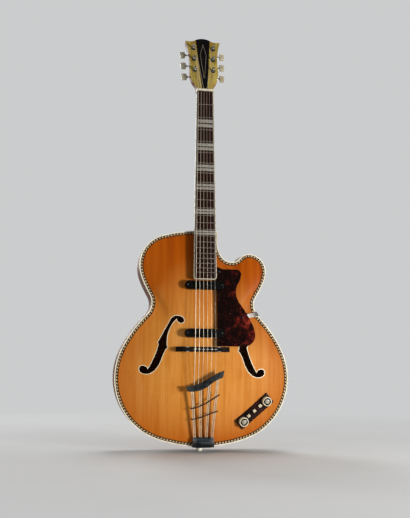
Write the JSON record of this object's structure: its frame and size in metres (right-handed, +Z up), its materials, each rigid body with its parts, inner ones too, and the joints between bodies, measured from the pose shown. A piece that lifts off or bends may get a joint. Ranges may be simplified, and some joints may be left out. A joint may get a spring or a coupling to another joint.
{
  "type": "archtop guitar",
  "caption": "Single-cutaway archtop guitar with f-holes, bar pickups, floating bridge, rod tailpiece, corner control console and geared tuners.",
  "frame": {"origin": "centre of the end pin at its collar's outer face, on the body's mid depth", "axes": "+Z up along the neck, +X to the treble side, the top faces -Y"},
  "size_m": [0.424, 0.1382, 1.0473],
  "materials": {
    "spruce": "gloss lacquer",
    "maple": "gloss lacquer",
    "neck_maple": "gloss lacquer",
    "inner_wood": "raw",
    "white_celluloid": "gloss",
    "cream_celluloid": "gloss",
    "rope_purfling": "gloss lacquer",
    "rosewood": "satin",
    "ebony": "satin",
    "pearl": "pearl",
    "fret_metal": "polished",
    "bone": "satin",
    "black_celluloid": "gloss",
    "tortoiseshell": "gloss",
    "nickel": "polished",
    "dark_strip": "gloss",
    "string_steel": "polished",
    "ivory_plastic": "gloss",
    "copper_coil": "wound",
    "control_metal": "plated",
    "switch_fibre": "matt"
  },
  "bodies": {
    "guitar": {"top_plate": "spruce", "top_purfling": "rope_purfling", "sound_hole_binding": "cream_celluloid", "back_plate": "maple", "top_binding": "white_celluloid", "back_binding": "white_celluloid", "bass_rib": "maple", "treble_rib": "maple", "cutaway_rib": "maple", "output_jack": "nickel", "end_blocks": "inner_wood", "linings": "inner_wood", "tone_bars": "inner_wood", "fingerboard": "rosewood", "fingerboard_binding": "white_celluloid", "position_markers": "pearl", "frets": "fret_metal", "headstock_face": "cream_celluloid", "headstock_wedge": "black_celluloid", "neck": "neck_maple", "post_bushings": "nickel", "tuner_plates": "nickel", "bridge_base": "ebony", "bridge_posts": "nickel", "neck_pickup_cover": "black_celluloid", "bridge_pickup_cover": "black_celluloid", "pickup_coils": "copper_coil", "pickguard": "tortoiseshell", "pickguard_bracket": "nickel", "tailpiece_anchor": "nickel", "tailpiece_rods": "nickel", "tailpiece_strips": "dark_strip", "end_pin": "ivory_plastic", "strings": "string_steel", "tailpiece_crossbar": "nickel", "nut": "bone", "console_plate": "black_celluloid", "potentiometers": "control_metal", "slide_switches": "switch_fibre"},
    "bridge_saddle": {"bridge_saddle": "ebony", "saddle_frets": "fret_metal"},
    "string_post_1": {"string_post_1": "nickel"},
    "tuner_button_1": {"tuner_button_1": "ivory_plastic"},
    "string_post_2": {"string_post_2": "nickel"},
    "tuner_button_2": {"tuner_button_2": "ivory_plastic"},
    "string_post_3": {"string_post_3": "nickel"},
    "tuner_button_3": {"tuner_button_3": "ivory_plastic"},
    "string_post_4": {"string_post_4": "nickel"},
    "tuner_button_4": {"tuner_button_4": "ivory_plastic"},
    "string_post_5": {"string_post_5": "nickel"},
    "tuner_button_5": {"tuner_button_5": "ivory_plastic"},
    "string_post_6": {"string_post_6": "nickel"},
    "tuner_button_6": {"tuner_button_6": "ivory_plastic"},
    "bass_thumbwheel": {"bass_thumbwheel": "nickel"},
    "treble_thumbwheel": {"treble_thumbwheel": "nickel"},
    "tone_knob": {"tone_knob": "ivory_plastic"},
    "volume_knob": {"volume_knob": "ivory_plastic"},
    "switch_slider_1": {"switch_slider_1": "ivory_plastic"},
    "switch_slider_2": {"switch_slider_2": "ivory_plastic"},
    "switch_slider_3": {"switch_slider_3": "ivory_plastic"}
  },
  "joints": [
    {"name": "button_turn_1", "type": "hinge", "parent": "guitar", "child": "tuner_button_1", "pos_m": [-0.02283, 0.00178, 0.92834], "axis": [0.9994, 0.0105, 0.0333], "continuous": true},
    {"name": "post_turn_1", "type": "hinge", "parent": "guitar", "child": "string_post_1", "pos_m": [-0.02311, 0.00418, 0.93597], "axis": [0, 0.9537, -0.3007], "continuous": true},
    {"name": "button_turn_2", "type": "hinge", "parent": "guitar", "child": "tuner_button_2", "pos_m": [-0.02402, 0.012, 0.96075], "axis": [0.9994, 0.0105, 0.0333], "continuous": true},
    {"name": "post_turn_2", "type": "hinge", "parent": "guitar", "child": "string_post_2", "pos_m": [-0.0243, 0.0144, 0.96837], "axis": [0, 0.9537, -0.3007], "continuous": true},
    {"name": "button_turn_3", "type": "hinge", "parent": "guitar", "child": "tuner_button_3", "pos_m": [-0.02521, 0.02221, 0.99316], "axis": [0.9994, 0.0105, 0.0333], "continuous": true},
    {"name": "post_turn_3", "type": "hinge", "parent": "guitar", "child": "string_post_3", "pos_m": [-0.02549, 0.02462, 1.00078], "axis": [0, 0.9537, -0.3007], "continuous": true},
    {"name": "button_turn_4", "type": "hinge", "parent": "guitar", "child": "tuner_button_4", "pos_m": [0.02521, 0.02221, 0.99316], "axis": [0.9994, -0.0105, -0.0333], "continuous": true},
    {"name": "post_turn_4", "type": "hinge", "parent": "guitar", "child": "string_post_4", "pos_m": [0.02549, 0.02462, 1.00078], "axis": [0, 0.9537, -0.3007], "continuous": true},
    {"name": "button_turn_5", "type": "hinge", "parent": "guitar", "child": "tuner_button_5", "pos_m": [0.02402, 0.012, 0.96075], "axis": [0.9994, -0.0105, -0.0333], "continuous": true},
    {"name": "post_turn_5", "type": "hinge", "parent": "guitar", "child": "string_post_5", "pos_m": [0.0243, 0.0144, 0.96837], "axis": [0, 0.9537, -0.3007], "continuous": true},
    {"name": "button_turn_6", "type": "hinge", "parent": "guitar", "child": "tuner_button_6", "pos_m": [0.02283, 0.00178, 0.92834], "axis": [0.9994, -0.0105, -0.0333], "continuous": true},
    {"name": "post_turn_6", "type": "hinge", "parent": "guitar", "child": "string_post_6", "pos_m": [0.02311, 0.00418, 0.93597], "axis": [0, 0.9537, -0.3007], "continuous": true},
    {"name": "tone_knob_turn", "type": "hinge", "parent": "guitar", "child": "tone_knob", "pos_m": [0.09903, -0.04551, 0.0631], "axis": [0.08, -0.9926, -0.0916], "range_deg": [-150, 150]},
    {"name": "volume_knob_turn", "type": "hinge", "parent": "guitar", "child": "volume_knob", "pos_m": [0.15597, -0.04542, 0.1119], "axis": [0.08, -0.9926, -0.0916], "range_deg": [-150, 150]},
    {"name": "switch_slide_1", "type": "slide", "parent": "guitar", "child": "switch_slider_1", "axis": [-0.6458, -0.1216, 0.7537], "range_m": [-0.004, 0]},
    {"name": "switch_slide_2", "type": "slide", "parent": "guitar", "child": "switch_slider_2", "axis": [-0.6458, -0.1216, 0.7537], "range_m": [-0.004, 0]},
    {"name": "switch_slide_3", "type": "slide", "parent": "guitar", "child": "switch_slider_3", "axis": [-0.6458, -0.1216, 0.7537], "range_m": [-0.004, 0]},
    {"name": "saddle_height", "type": "slide", "parent": "guitar", "child": "bridge_saddle", "axis": [0, -1, 0], "range_m": [-0.002, 0]},
    {"name": "bass_thumbwheel_turn", "type": "hinge", "parent": "bridge_saddle", "child": "bass_thumbwheel", "pos_m": [-0.041, -0.06811, 0.23484], "axis": [0, -1, 0], "range_deg": [-1030, 0]},
    {"name": "treble_thumbwheel_turn", "type": "hinge", "parent": "bridge_saddle", "child": "treble_thumbwheel", "pos_m": [0.035, -0.06811, 0.23484], "axis": [0, -1, 0], "range_deg": [-1030, 0]}
  ],
  "couplings": [
    {"joint": "post_turn_1", "follows": "button_turn_1", "ratio": 0.071429},
    {"joint": "post_turn_2", "follows": "button_turn_2", "ratio": 0.071429},
    {"joint": "post_turn_3", "follows": "button_turn_3", "ratio": 0.071429},
    {"joint": "post_turn_4", "follows": "button_turn_4", "ratio": 0.071429},
    {"joint": "post_turn_5", "follows": "button_turn_5", "ratio": 0.071429},
    {"joint": "post_turn_6", "follows": "button_turn_6", "ratio": 0.071429},
    {"joint": "bass_thumbwheel_turn", "follows": "saddle_height", "rad_per_m": 8976},
    {"joint": "treble_thumbwheel_turn", "follows": "saddle_height", "rad_per_m": 8976}
  ]
}
